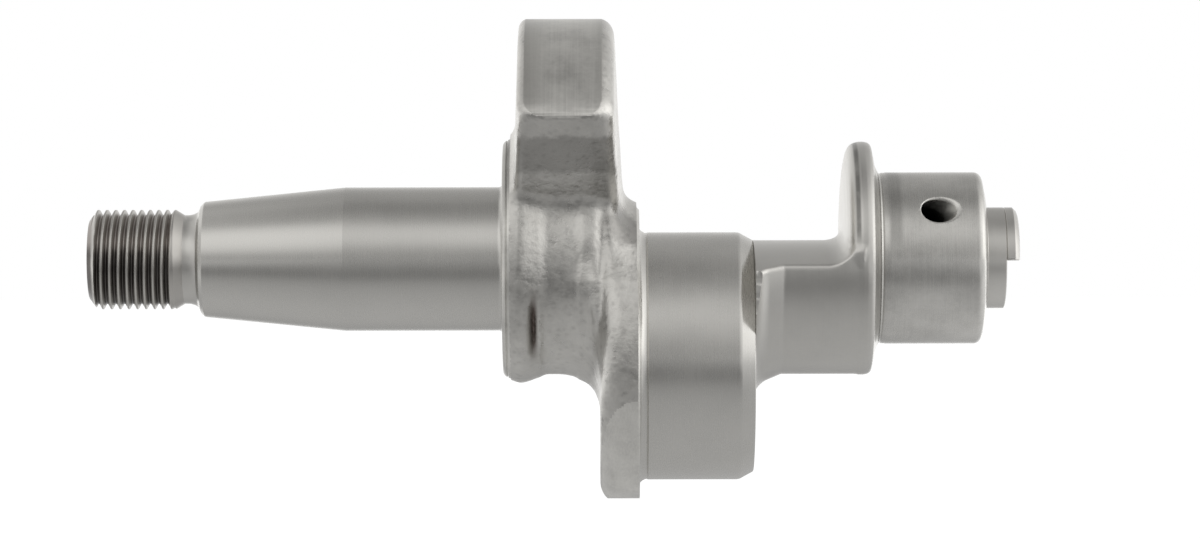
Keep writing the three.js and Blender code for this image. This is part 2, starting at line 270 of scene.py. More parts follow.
# ---------------------------------------------------------------- materials
class Nodes:
    """A short way to write node trees."""

    def __init__(self, tree):
        self.tree = tree
        tree.nodes.clear()

    def add(self, kind, **inputs):
        node = self.tree.nodes.new(kind)
        for key, value in inputs.items():
            if key.startswith("_"):
                setattr(node, key[1:], value)
                continue
            numbered = key[0] == "i" and key[1:].isdigit()
            socket = node.inputs[int(key[1:]) if numbered else key.replace("__", " ")]
            if isinstance(value, bpy.types.NodeSocket):
                self.tree.links.new(value, socket)
            else:
                socket.default_value = value
        return node

    def math(self, op, a, b=0.0, clamp=False):
        return self.add("ShaderNodeMath", _operation=op, _use_clamp=clamp, i0=a, i1=b).outputs[0]

    def vec(self, op, a, b=(0, 0, 0)):
        return self.add("ShaderNodeVectorMath", _operation=op, i0=a, i1=b)

    def noise(self, vector, scale, detail=3.0, rough=0.55):
        node = self.add("ShaderNodeTexNoise", Vector=vector, Scale=scale, Detail=detail, Roughness=rough)
        return node.outputs["Fac"]

    def remap(self, value, a, b, c, d, smooth=False):
        node = self.add("ShaderNodeMapRange", Value=value)
        node.interpolation_type = "SMOOTHSTEP" if smooth else "LINEAR"
        for i, v in zip((1, 2, 3, 4), (a, b, c, d)):
            node.inputs[i].default_value = v
        return node.outputs[0]

    def ramp(self, value, stops):
        node = self.add("ShaderNodeValToRGB", Fac=value)
        ramp = node.color_ramp
        while len(ramp.elements) < len(stops):
            ramp.elements.new(0.5)
        for element, (at, colour) in zip(ramp.elements, stops):
            element.position = at
            element.color = (*colour, 1.0) if len(colour) == 3 else colour
        return node.outputs["Color"]

    def mix(self, fac, a, b):
        node = self.add("ShaderNodeMix", _data_type="RGBA")
        for i, v in ((0, fac), (6, a), (7, b)):
            if isinstance(v, bpy.types.NodeSocket):
                self.tree.links.new(v, node.inputs[i])
            else:
                node.inputs[i].default_value = v if i == 0 else (*v, 1.0)
        return node.outputs[2]


def machined(name, colour, rough, marks, mark_width, axis_z=0.0, stain=0.10, grain=0.0, valleys=None,
             edge_line=None, rims=None):
    """Turned or ground steel: fine rings round an axis along X, on both the barrels and the faces.

    valleys is (low radius, high radius, colour, end in x) of painted shade in the grooves, lighter above the
    axis.
    edge_line is (x, half width, lowest radius, amount) of a dark line painted on the upper side as shade and
    dark reflection. rims is (middle x, half width) of a band that darkens toward both of its edges above the
    axis.
    """
    mat = bpy.data.materials.new(name)
    mat.use_nodes = True
    n = Nodes(mat.node_tree)
    at = n.add("ShaderNodeTexCoord").outputs["Object"]
    local = n.vec("SUBTRACT", at, (0, 0, axis_z * MM)).outputs[0]
    parts = n.add("ShaderNodeSeparateXYZ", i0=local)
    radial = n.math("SQRT", n.math("ADD", n.math("MULTIPLY", parts.outputs[1], parts.outputs[1]),
                                   n.math("MULTIPLY", parts.outputs[2], parts.outputs[2])))
    turn = n.math("ARCTAN2", parts.outputs[1], parts.outputs[2])
    # along the profile the marks are fine; round the axis they run on
    rings = n.add("ShaderNodeCombineXYZ", i0=n.math("MULTIPLY", parts.outputs[0], 1 / (mark_width * MM)),
                  i1=n.math("MULTIPLY", radial, 1 / (mark_width * MM)),
                  i2=n.math("MULTIPLY", n.math("ABSOLUTE", turn), 1.6)).outputs[0]
    fine = n.noise(rings, 1.0, 4.0, 0.65)
    broad = n.noise(rings, 0.17, 2.0, 0.5)
    cloud = n.noise(at, 120.0, 4.0, 0.6)
    speck = n.noise(at, 1500.0, 2.0, 0.6)
    tone = n.math("ADD", n.math("MULTIPLY", n.math("SUBTRACT", cloud, 0.5), stain * 3.0),
                  n.math("MULTIPLY", n.math("SUBTRACT", fine, 0.5), stain * 1.2))
    tone = n.math("ADD", tone, n.math("MULTIPLY", n.math("SUBTRACT", speck, 0.5), stain * 0.6 + grain))
    tone = n.math("ADD", tone, 0.5, True)
    dark = tuple(c * (1 - 1.6 * stain) for c in colour)
    lite = tuple(min(1, c * (1 + 1.2 * stain)) for c in colour)
    base = n.ramp(tone, [(0.15, dark), (0.5, colour), (0.85, lite)])
    # painted shade in the thread's grooves, standing for the shade that falls in them
    if valleys:
        low, high, groove_shade_colour, until = valleys
        out_of_groove = n.remap(n.math("ADD", radial, n.math("MULTIPLY", n.math("SUBTRACT", cloud, 0.5), 0.5 * MM)),
                        low * MM, high * MM, 0.0, 1.0, True)
        past = n.remap(parts.outputs[0], (until - 0.4) * MM, until * MM, 0.0, 1.0, True)
        out_of_groove = n.math("MAXIMUM", out_of_groove, past)
        # the painted groove shade is lighter above the axis, where light falls
        level = n.math("ADD", parts.outputs[2], n.math("MULTIPLY", n.math("SUBTRACT", cloud, 0.5), 4.0 * MM))
        above = n.remap(level, 0.5 * MM, 3.5 * MM, 0.0, 1.0, True)
        base = n.mix(out_of_groove, n.mix(above, groove_shade_colour, tuple(3.2 * c for c in groove_shade_colour)), base)
    # painted shade: a dark line on the upper side only, for the dark reflection in the flange's rounded rim and
    # the shade on the journal beside it
    if edge_line:
        at_x, half, low, amount = edge_line
        away = n.math("ABSOLUTE", n.math("SUBTRACT", parts.outputs[0], at_x * MM))
        line = n.math("MULTIPLY", n.remap(away, half * 0.3 * MM, half * MM, 1.0, 0.0, True),
                      n.remap(radial, low * MM, (low + 0.6) * MM, 0.0, 1.0, True))
        line = n.math("MULTIPLY", line, n.remap(parts.outputs[2], 1.0 * MM, 5.0 * MM, 0.0, amount, True))
        line = n.math("MULTIPLY", line, n.remap(cloud, 0.35, 0.6, 0.5, 1.0))
        base = n.mix(line, base, (0.10, 0.098, 0.092))
    if rims:
        middle, half = rims
        away = n.math("ABSOLUTE", n.math("SUBTRACT", parts.outputs[0], middle * MM))
        away = n.math("ADD", away, n.math("MULTIPLY", n.math("SUBTRACT", cloud, 0.5), 5.0 * MM))
        shadow = n.remap(away, half * 0.30 * MM, half * MM, 0.0, 0.52, True)
        shadow = n.math("MULTIPLY", shadow, n.remap(parts.outputs[2], 5 * MM, 15 * MM, 0.0, 1.0))
        base = n.mix(shadow, base, (0.22, 0.215, 0.20))
    rough_out = n.remap(n.math("ADD", n.math("MULTIPLY", fine, 0.5), n.math("MULTIPLY", cloud, 0.5)),
                        0.3, 0.7, rough * 0.86, rough * 1.16)
    height = n.math("ADD", n.math("MULTIPLY", fine, 1.0), n.math("MULTIPLY", broad, 0.8))
    height = n.math("ADD", height, n.math("MULTIPLY", speck, 0.08 + grain))
    bump = n.add("ShaderNodeBump", Height=height)
    bump.inputs["Strength"].default_value = 0.55
    bump.inputs["Distance"].default_value = marks * MM
    shader = n.add("ShaderNodeBsdfPrincipled", Base__Color=base, Roughness=rough_out, Normal=bump.outputs[0])
    shader.inputs["Metallic"].default_value = 1.0
    out = n.add("ShaderNodeOutputMaterial")
    n.tree.links.new(shader.outputs[0], out.inputs[0])
    return mat


def forged(name, colour, rough):
    """Shot-blasted forging skin: mottled tone, pits and rubbed high spots, with painted shade on the fan's
    flanks and in the fold behind the collar, and a painted dark smudge by the cheek.
    """
    mat = bpy.data.materials.new(name)
    mat.use_nodes = True
    n = Nodes(mat.node_tree)
    at = n.add("ShaderNodeTexCoord").outputs["Object"]
    big = n.noise(at, 90.0, 4.0, 0.6)
    mid = n.noise(at, 420.0, 4.0, 0.65)
    small = n.noise(at, 1500.0, 3.0, 0.6)
    pits = n.add("ShaderNodeTexVoronoi", Vector=at, Scale=620.0).outputs["Distance"]
    pits = n.remap(pits, 0.05, 0.45, 0.0, 1.0, True)
    tone = n.math("ADD", n.math("MULTIPLY", big, 0.55), n.math("MULTIPLY", mid, 0.45))
    tone = n.math("MULTIPLY", tone, n.remap(pits, 0.0, 1.0, 0.82, 1.0))
    dark = tuple(c * 0.72 for c in colour)
    lite = tuple(min(1, c * 1.2) for c in colour)
    base = n.ramp(tone, [(0.28, dark), (0.47, colour), (0.66, lite)])
    # painted shade on the fan's downward-facing flanks above the hub, heaviest halfway down, where they face
    # the floor under the fan
    spot = n.add("ShaderNodeSeparateXYZ", i0=at).outputs
    facing = n.add("ShaderNodeSeparateXYZ", i0=n.add("ShaderNodeNewGeometry").outputs["Normal"]).outputs[2]
    under = n.math("MULTIPLY", n.remap(facing, -0.25, -0.5, 0.0, 1.0, True),
                   n.remap(spot[2], 7.5 * MM, 9.5 * MM, 0.0, 1.0, True))
    height = n.math("ADD", spot[2], n.math("MULTIPLY", n.math("SUBTRACT", mid, 0.5), 2.0 * MM))
    band = n.math("MULTIPLY", n.remap(height, 14.6 * MM, 15.8 * MM, 0.0, 1.0, True),
                  n.remap(height, 20.9 * MM, 21.9 * MM, 1.0, 0.0, True))
    # painted shade amount, strongest in the band halfway down the flanks
    scale = n.math("MULTIPLY", under, n.math("ADD", n.math("MULTIPLY", band, 0.34), 0.10))
    base = n.mix(scale, base, (0.09, 0.085, 0.08))
    # painted shade in the fold behind the collar's rim, a brownish dark in its recess
    away = n.math("ABSOLUTE", n.math("SUBTRACT", spot[0], FOLD_X * MM))
    low = n.math("ABSOLUTE", n.math("ADD", spot[2], 12.1 * MM))
    fold_shade = n.math("MULTIPLY", n.remap(away, 0.1 * MM, 1.05 * MM, 1.0, 0.0, True),
                  n.remap(low, 2.0 * MM, 7.5 * MM, 1.0, 0.0, True))
    fold_shade = n.math("MULTIPLY", fold_shade, n.remap(spot[1], -8 * MM, -11 * MM, 0.0, 1.0, True))
    base = n.mix(n.math("MULTIPLY", fold_shade, 0.93), base, (0.10, 0.075, 0.065))
    # a dark smudge painted where the slope runs down to the cheek, on the near side
    smudge = n.vec("DISTANCE", at, (13.2 * MM, -17.5 * MM, 6.0 * MM)).outputs["Value"]
    smudge = n.math("ADD", smudge, n.math("MULTIPLY", n.math("SUBTRACT", mid, 0.5), 5.0 * MM))
    base = n.mix(n.remap(smudge, 3.2 * MM, 6.0 * MM, 0.55, 0.0, True), base, (0.12, 0.115, 0.11))
    rough_out = n.remap(mid, 0.3, 0.7, rough * 0.75, rough * 1.3)
    height = n.math("ADD", n.math("MULTIPLY", mid, 1.0), n.math("MULTIPLY", small, 0.25))
    height = n.math("ADD", height, n.math("MULTIPLY", pits, 0.18))
    bump = n.add("ShaderNodeBump", Height=height)
    bump.inputs["Strength"].default_value = 0.7
    bump.inputs["Distance"].default_value = 0.20 * MM
    shader = n.add("ShaderNodeBsdfPrincipled", Base__Color=base, Roughness=rough_out, Normal=bump.outputs[0])
    shader.inputs["Metallic"].default_value = 1.0
    out = n.add("ShaderNodeOutputMaterial")
    n.tree.links.new(shader.outputs[0], out.inputs[0])
    return mat


GREY = (0.60, 0.59, 0.565)
M_GROUND = machined("ground_steel", GREY, 0.27, 0.007, 0.16, stain=0.09)
# the journal has a painted dark line of shade on its upper side, beside the flange
M_JOURNAL = machined("ground_steel_journal", GREY, 0.27, 0.007, 0.16, stain=0.22,
                     edge_line=(X_FLANGE_BACK + 2.7, 1.7, 10.0, 0.42))
M_PIN = machined("ground_steel_pin", GREY, 0.27, 0.007, 0.16, axis_z=PIN_Z, stain=0.10)
M_TURNED = machined("turned_steel", (0.58, 0.57, 0.545), 0.32, 0.02, 0.22, stain=0.10, grain=0.05)
# the thread's grooves take painted shade, lighter above the axis
M_THREAD = machined("thread_steel", (0.50, 0.485, 0.46), 0.30, 0.012, 0.12, stain=0.14,
                    valleys=(THREAD_R - THREAD_DEPTH - 0.05, THREAD_R - 0.25, (0.098, 0.09, 0.084),
                             X_THREAD_END - 1.9))
# the flange's rounded rim has a painted dark line on its upper side, a painted dark reflection
M_WEB = machined("turned_steel_web", (0.58, 0.57, 0.545), 0.32, 0.02, 0.22, stain=0.12, grain=0.03,
                 edge_line=(X_FLANGE + 2.35, 0.62, 19.2, 0.75))
M_FORGED = forged("forged_steel", (0.56, 0.55, 0.525), 0.33)
M_SWEEP = machined("turned_steel_sweep", (0.66, 0.65, 0.62), 0.33, 0.02, 0.30, stain=0.26,
                   rims=((X_WEB_FRONT + X_WEB_BACK) / 2, (X_WEB_BACK - X_WEB_FRONT) / 2))


def bore(name, lit_r, dark_r):
    """Wall of an oil drilling: bright where it opens, with painted shade going near black farther in."""
    mat = bpy.data.materials.new(name)
    mat.use_nodes = True
    n = Nodes(mat.node_tree)
    at = n.add("ShaderNodeTexCoord").outputs["Object"]
    parts = n.add("ShaderNodeSeparateXYZ", i0=at)
    radial = n.math("SQRT", n.math("ADD", n.math("MULTIPLY", parts.outputs[1], parts.outputs[1]),
                                   n.math("MULTIPLY", parts.outputs[2], parts.outputs[2])))
    mottle = n.noise(at, 900.0, 3.0, 0.6)
    depth = n.math("ADD", radial, n.math("MULTIPLY", n.math("SUBTRACT", mottle, 0.5), 0.8 * MM))
    open_end = n.remap(depth, dark_r * MM, lit_r * MM, 0.0, 1.0, True)
    # painted shade: the wall's colour runs to near black with depth into the drilling
    stops = [(0.0, (0.006, 0.006, 0.006)), (0.35, (0.05, 0.048, 0.045)), (1.0, (0.66, 0.65, 0.62))]
    base = n.ramp(open_end, stops)
    rough_out = n.remap(mottle, 0.3, 0.7, 0.36, 0.5)
    shader = n.add("ShaderNodeBsdfPrincipled", Base__Color=base, Roughness=rough_out)
    shader.inputs["Metallic"].default_value = 1.0
    out = n.add("ShaderNodeOutputMaterial")
    n.tree.links.new(shader.outputs[0], out.inputs[0])
    return mat


M_BORE = bore("bore_steel", REAR_R - 0.8, REAR_R - 4.6)
M_PIN_BORE = bore("bore_steel_pin", PIN_R - 0.6, PIN_R - 5.0)


# ---------------------------------------------------------------- nose: thread, relief, taper, front journal
def threaded_end():
    """Helical V ridge with a bevelled start, a run-out at the relief and a centre drilling in its end."""
    columns, rows_per_mm = 144, 18
    xs = np.linspace(X_NOSE + 0.02, X_THREAD_END, int((X_THREAD_END - X_NOSE) * rows_per_mm))
    th = np.linspace(0, 2 * math.pi, columns, endpoint=False)
    xx, tt = np.meshgrid(xs, th, indexing="ij")
    phase = np.mod((xx - X_NOSE) / PITCH - tt / (2 * math.pi), 1.0)
    tri = np.abs(phase - 0.5) * 2
    ridge = np.clip((tri - 0.14) / 0.70, 0, 1)
    ridge = ridge * ridge * (3 - 2 * ridge) * 0.25 + ridge * 0.75
    fade = np.clip((X_THREAD_END - 1.5 - xx) / 1.2, 0, 1)
    r = THREAD_R - THREAD_DEPTH * (1 - ridge) * fade
    front = THREAD_R - 1.9 + (xx - X_NOSE) * 1.36
    front = np.minimum(front, THREAD_R - 1.25 + (xx - X_NOSE) * 0.9)
    back = RELIEF_R + (X_THREAD_END - xx) * 0.6
    r = np.minimum(r, np.minimum(front, back))
    verts = np.stack([xx, r * np.sin(tt), r * np.cos(tt)], axis=-1).reshape(-1, 3)
    rings = len(xs)
    faces = []
    for i in range(rings - 1):
        a, b = i * columns, (i + 1) * columns
        for j in range(columns):
            k = (j + 1) % columns
            faces.append((a + j, a + k, b + k, b + j))
    verts = verts.tolist()
    # end face, centre cone and pilot hole
    last = list(range(columns))
    inner = [(X_NOSE, THREAD_R - 2.0), (X_NOSE, 4.25), (X_NOSE + 0.1, 4.05), (X_NOSE + 2.75, 1.6),
             (X_NOSE + 6.5, 1.6), (X_NOSE + 7.4, 0.0)]
    for x, rad in inner:
        if rad == 0.0:
            tip = len(verts)
            verts.append((x, 0, 0))
            faces += [(last[j], tip, last[(j + 1) % columns]) for j in range(columns)]
            break
        ring = list(range(len(verts), len(verts) + columns))
        verts += [(x, rad * math.sin(a), rad * math.cos(a)) for a in th]
        after = [(j + 1) % columns for j in range(columns)]
        faces += [(ring[j], ring[k], last[k], last[j]) for j, k in enumerate(after)]
        last = ring
    tip = len(verts)
    verts.append((X_THREAD_END, 0, 0))
    a = (rings - 1) * columns
    faces += [(a + j, a + (j + 1) % columns, tip) for j in range(columns)]
    return facing_out(make("nose_thread", verts, faces, 50, [M_THREAD]))


pieces = []


def place(obj, slot, *nodes):
    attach(obj, "root")
    if nodes:
        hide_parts(*nodes)
    pieces.append(obj)
    return obj


place(threaded_end(), "turned_steel", "threaded_end")
place(lathe("relief_groove", [(X_THREAD_END, RELIEF_R), (X_SHOULDER - 1.98, RELIEF_R)]
            + arc(X_SHOULDER - 1.98, RELIEF_R + 3.4, 3.4, -90, -55, 8)
            + [(X_SHOULDER, RELIEF_R + 0.66)], materials=[M_TURNED]), "turned_steel", "thread_relief")
taper_start = X_SHOULDER + 1.3
place(lathe("taper", [(X_SHOULDER, RELIEF_R + 0.66), (X_SHOULDER + 0.2, 9.1), (X_SHOULDER + 0.5, 9.82),
                      (taper_start - 0.15, SMALL_R - 0.07), (taper_start + 0.1, SMALL_R + 0.01),
                      (X_TAPER_END - 0.1, TAPER_R - 0.01), (X_TAPER_END, TAPER_R)],
            smooth_deg=20, materials=[M_GROUND]), "ground_steel", "taper_seat")
place(lathe("front_journal", [(X_TAPER_END, TAPER_R), (X_TAPER_END + 0.1, TAPER_R)]
            + arc(X_COLLAR - 0.9, TAPER_R + 0.9, 0.9, -90, 0, 10), smooth_deg=45, materials=[M_GROUND]),
      "ground_steel", "front_main_journal")


# ---------------------------------------------------------------- front web: one forging, then turned
def plate(d2, x, front, back, front_edge, back_edge):
    """A flat outline's distance carried from front to back along X, its two rims rounded differently."""
    middle = (front + back) / 2
    edge = np.where(x < middle, front_edge, back_edge)
    wx = d2 + edge
    wy = np.abs(x - middle) - (back - front) / 2 + edge
    return np.minimum(np.maximum(wx, wy), 0) + length(np.maximum(wx, 0), np.maximum(wy, 0)) - edge


def front_web_distance(x, y, z):
    r = length(y, z)
    rp = length(y, z - PIN_Z)
    # the collar's rounded rim and the barrel behind it
    rim = [(-9.6, -5), (-9.6, 21.5), (-8.2, 21.95), (-6.9, 22.35), (-6.1, COLLAR_R), (-5.2, 22.3),
           (-4.3, 21.9), (-3.1, 21.1), (-3.1, -5)]
    collar = polygon(x, r, rim)
    barrel = plate(r - HUB_R, x, -6.0, 11.2, 0.8, 2.4)
    body = smin(collar, barrel, 2.6)
    # cheek disc round the crankpin, its front rim well rounded
    cheek = plate(rp - CHEEK_R, x, X_CHEEK_FRONT, 19.0, 4.0, 1.2)
    lower = smin(body, cheek, 2.0 + 6.0 * np.clip((4.0 - z) / 8, 0, 1))
    # above the disc the barrel runs back in a slope down to the cheek's face
    slope = smax(r - HUB_R + 0.7, (rp - (CHEEK_R + 0.8 * (X_CHEEK - x))) * 0.78, 2.5)
    slope = np.maximum(slope, np.maximum(X_CHEEK_FRONT - 2 - x, x - 19.0))
    lower = smin(lower, slope, 3.0)
    # fan, thinner toward its outer edge
    flank = [(17.4, 8.0), (35.6, 24.2), (39.6, 27.2)]
    outline = flank + [(22, 52), (-22, 52)] + [(-a, b) for a, b in flank[::-1]]
    wedge = polygon(y, z, outline)
    fan2 = smax(wedge, r - (SWEEP_R + 0.10), 0.9)
    # its four outer corners are well rounded
    nip = np.clip(CORNER_ROUND + wedge, 0, CORNER_ROUND)
    nip = CORNER_ROUND - np.sqrt(np.maximum(CORNER_ROUND ** 2 - nip ** 2, 0.01))
    nip = nip * np.clip((r - 38) / 5, 0, 1)
    front = X_WEB_FRONT + 0.6 * np.clip((r - 24) / 18, 0, 1) + nip
    back = X_WEB_BACK - 1.45 * np.clip((r - 14) / 28, 0, 1) - nip
    fan = plate(fan2, x, front, back, 1.9, 3.0)
    whole = smin(lower, fan, 3.0 - 1.8 * np.clip((x - 8) / 4, 0, 1))
    # fold left by the die behind the collar's rim
    angle = np.degrees(np.arctan2(z, -y))
    whole = whole + 0.75 * np.exp(-((x - FOLD_X) / 0.62) ** 2 - ((angle - FOLD_ANGLE) / 13) ** 4)
    # shallow hollow down the barrel where the cheek grows out of it
    whole = whole + 0.5 * np.exp(-((x - HOLLOW_X) / 1.0) ** 2 - ((angle + 6) / 33) ** 4) * (y < 0)
    rough = 0.03 * lattice_noise(x, y, z, 3.4) + 0.02 * lattice_noise(x, y, z, 1.5)
    rough = rough + 0.06 * lattice_noise(x, y, z, 9.0)
    calm = np.clip((x + 8.0) / 3, 0, 1) * np.clip((SWEEP_R - r) / 5, 0.1, 1)
    return whole + rough * calm


web = skin("front_web", front_web_distance, (-9.6, -37, -46), (17, 37, 46), 0.42)
tool = lathe("turning_tool", [
    (X_COLLAR, COLLAR_R - 1.6), (X_COLLAR + 0.3, COLLAR_R - 1.15), (X_COLLAR + 0.62, COLLAR_R - 0.95),
    (X_COLLAR + 0.72, COLLAR_R - 1.06), (X_COLLAR + 0.84, COLLAR_R - 1.0), (X_COLLAR + 0.95, COLLAR_R - 0.78),
    (X_COLLAR + 1.35, COLLAR_R - 0.65), (X_COLLAR + 1.4, COLLAR_R + 4), (X_WEB_FRONT - 2.0, SWEEP_R),
    (X_CHEEK, SWEEP_R)], segments=360)
web.data.materials.append(M_FORGED)
web.data.materials.append(M_SWEEP)
boolean(web, tool, "INTERSECT", smooth_deg=38)
facing = lathe("facing_tool", [
    (X_COLLAR - 1, 90), (X_CHEEK - 0.5, 90), (X_CHEEK - 0.5, CHEEK_R + 0.22), (X_CHEEK, CHEEK_R - 0.34)],
    segments=360, axis_z=PIN_Z)
boolean(web, facing, "INTERSECT", smooth_deg=30)


def mark_machined(obj):
    """Faces that lie on the turned envelope take the turned finish."""
    mesh = obj.data
    n = len(mesh.polygons)
    c = np.zeros(n * 3)
    mesh.polygons.foreach_get("center", c)
    c = c.reshape(-1, 3) / MM
    nr = np.zeros(n * 3)
    mesh.polygons.foreach_get("normal", nr)
    nr = nr.reshape(-1, 3)
    r = np.hypot(c[:, 1], c[:, 2])
    cut = (np.abs(c[:, 0] - X_CHEEK) < 0.02) | (np.abs(c[:, 0] - X_COLLAR) < 0.02)
    cut |= (r > SWEEP_R - 0.02)
    cut |= (c[:, 0] > X_CHEEK - 0.5) & (nr[:, 0] > 0.4)
    cut |= (c[:, 0] < X_COLLAR + 1.42)
    # the cheek's tip is turned too, up to a line that curves round with the forging's front edge
    line = -25.2 - 8.2 * (1 - np.sqrt(np.clip(1 - ((X_CHEEK - c[:, 0]) / 6.6) ** 2, 0, 1)))
    cut |= (c[:, 2] < line) & (c[:, 0] > X_CHEEK_FRONT + 0.3)
    mesh.polygons.foreach_set("material_index", cut.astype(np.int32))
    mesh.update()


mark_machined(web)
place(web, "forged_steel", "thrust_collar", "front_web_hub", "crank_cheek", "counterweight")

# ---------------------------------------------------------------- crankpin
pin = lathe("pin", [(X_CHEEK, PIN_FOOT_R), (X_CHEEK + 0.12, PIN_FOOT_R - 0.2),
                    (X_CHEEK + 0.5, PIN_R + 0.22), (X_CHEEK + 0.95, PIN_R - 0.04),
                    (X_CHEEK + 1.15, PIN_R - 0.11), (X_CHEEK + 1.38, PIN_R - 0.09),
                    (X_CHEEK + 1.55, PIN_R), (X_PIN_END - 3.1, PIN_R),
                    (X_PIN_END - 2.55, PIN_R - 0.06), (X_PIN_END - 2.35, PIN_R - 0.16),
                    (X_PIN_END - 0.12, 21.16), (X_PIN_END, 21.0)],
            segments=256, axis_z=PIN_Z, smooth_deg=12, materials=[M_PIN, M_PIN_BORE])


def drill(mouth, meet, rad, edge, seg=96):
    """Drill as a solid to cut with; its mouth is rounded off by edge where it breaks the rear journal.

    It opens out along the journal's surface, so that the round is even all the way round a slanting hole.
    """
    d = Vector(meet) - Vector(mouth)
    depth = d.length
    q = Vector((1, 0, 0)).rotation_difference(d.normalized())
    profile = [(-6 + 0.1 * i, rad) for i in range(110)] + [(depth, rad), (depth + rad * 0.6, 0.02)]
    obj = lathe("drill", profile, segments=seg)
    for v in obj.data.vertices:
        out = Vector((0, v.co.y, v.co.z))
        p = q @ v.co + Vector(mouth) * MM
        below = REAR_R - math.hypot(p.y, p.z) / MM
        if edge and out.length > 0.5 * rad * MM and p.y < 0:
            into = min(max(edge - below, 0.0), edge)
            opened = edge - math.sqrt(edge * edge - into * into) + 0.5 * max(-below, 0.0)
            upright = Vector((0, p.y, p.z)).normalized()
            aside = q @ out
            aside -= upright * aside.dot(upright)
            p += aside.normalized() * opened * MM
        v.co = p
    return obj


def tag_bore(obj, test, index):
    """Gives the faces that pass the test, which a drill has left, their own material."""
    mesh = obj.data
    for p in mesh.polygons:
        if test(p.center / MM, p.normal):
            p.material_index = index


# the gallery slants in from the rear journal's near side to the main axis, then out to the pin's far side
tilt = math.radians(42)
up = math.radians(34)
mouth = Vector((OIL_MOUTH_X, -REAR_R * math.cos(up), REAR_R * math.sin(up)))
meet = Vector((mouth.x - REAR_R * math.tan(tilt), 0, 0))
pin_angle = math.radians(22)
outlet = Vector((PIN_OIL_X, PIN_R * math.cos(pin_angle), PIN_Z + PIN_R * math.sin(pin_angle)))
boolean(pin, drill(outlet, meet, PIN_OIL_R, 0), smooth_deg=24)
tag_bore(pin, lambda c, n: math.hypot(c.y, c.z - PIN_Z) < PIN_R - 0.5 and X_CHEEK + 1.2 < c.x < X_PIN_END - 2.9
        and math.hypot(c.y, c.z - PIN_Z) > 2, 1)
place(pin, "ground_steel", "crankpin")


# ---------------------------------------------------------------- rear web
def rear_web_distance(x, y, z):
    r = length(y, z)
    cone = 0.42 * np.clip(41.4 - x, 0, 7) + 1.5 * (np.clip(38.8 - x, 0, 5) / 2.5) ** 2
    below = r - (WEB_R + cone)
    rise = np.clip((x - (X_FLANGE - 3.3)) / 3.3, 0, 1.5)
    above = length(y, z - (CROWN_TOP - CROWN_R)) - (CROWN_R + 1.1 * rise ** 2)
    web = smax(below, above, 0.75)
    web = np.maximum(web, X_PIN_END - 0.2 - x)
    web = np.maximum(web, x - X_FLANGE - 3.0)
    # flange: a thin disc, dished on both faces, its rim level with the web below
    section = [(-0.05, -4), (-0.05, 8.2), (0.2, 14.6), (0.5, 17.5), (0.85, 19.2), (1.15, 20.0), (1.5, 20.5),
               (1.95, 20.85), (2.5, 21.08), (3.1, FLANGE_R - 0.02), (4.0, FLANGE_R), (4.8, 21.08),
               (5.3, 20.7), (5.6, 19.4), (6.0, 17.2), (X_FLANGE_BACK - X_FLANGE, 15.8),
               (X_FLANGE_BACK - X_FLANGE + 0.5, -4)]
    disc = polygon(x, r, [(X_FLANGE + back, out) for back, out in section])
    blend = 0.12 + 1.1 * np.clip((z + 2) / 3, 0, 1)
    return smin(web, disc, blend)


rear = skin("rear_web", rear_web_distance, (X_PIN_END, -22, -25), (X_FLANGE_BACK + 0.1, 22, 22), 0.27)
rear.data.materials.append(M_WEB)
rear.data.materials.append(M_BORE)
side_tool = lathe("end_faces", [(X_PIN_END, 40), (X_FLANGE_BACK, 40)], segments=32)
boolean(rear, side_tool, "INTERSECT", smooth_deg=38)
boolean(rear, drill(mouth, meet, OIL_R + 0.15, 0), smooth_deg=38)
place(rear, "turned_steel", "rear_web", "rear_flange")

# ---------------------------------------------------------------- rear journal, boss and half dog
journal = lathe("rear_journal", [(X_FLANGE_BACK, REAR_R + 0.2)]
                + arc(X_FLANGE_BACK + 0.5, REAR_R + 0.3, 0.5, -170, -100, 3)
                + [(X_FLANGE_BACK + 0.75, REAR_R - 0.06), (X_FLANGE_BACK + 1.2, REAR_R - 0.06),
                   (X_FLANGE_BACK + 1.45, REAR_R)]
                + [(x, REAR_R) for x in np.linspace(X_FLANGE_BACK + 1.9, X_JOURNAL_END - 2.0, 34)]
                + arc(X_JOURNAL_END - 1.9, REAR_R - 1.5, 1.5, 88, 25, 8)
                + [(X_JOURNAL_END - 0.12, REAR_R - 3.0), (X_JOURNAL_END, REAR_R - 3.4)],
                segments=256, smooth_deg=24, materials=[M_JOURNAL, M_BORE])
boolean(journal, drill(mouth, meet, OIL_R, OIL_MOUTH_ROUND), smooth_deg=28)
tag_bore(journal, lambda c, n: math.hypot(c.y, c.z) < REAR_R - 0.40 and c.x < X_JOURNAL_END - 2 and
        abs(n.x) < 0.999 and c.x > X_FLANGE_BACK + 0.02, 1)
place(journal, "ground_steel", "rear_main_journal")

place(lathe("drive_boss_body", [(X_JOURNAL_END, BOSS_R + 0.35), (X_JOURNAL_END + 0.35, BOSS_R)]
            + [(X_BOSS_END - 0.15, BOSS_R), (X_BOSS_END, BOSS_R - 0.15)],
            smooth_deg=30, materials=[M_TURNED]),
      "turned_steel", "drive_boss")


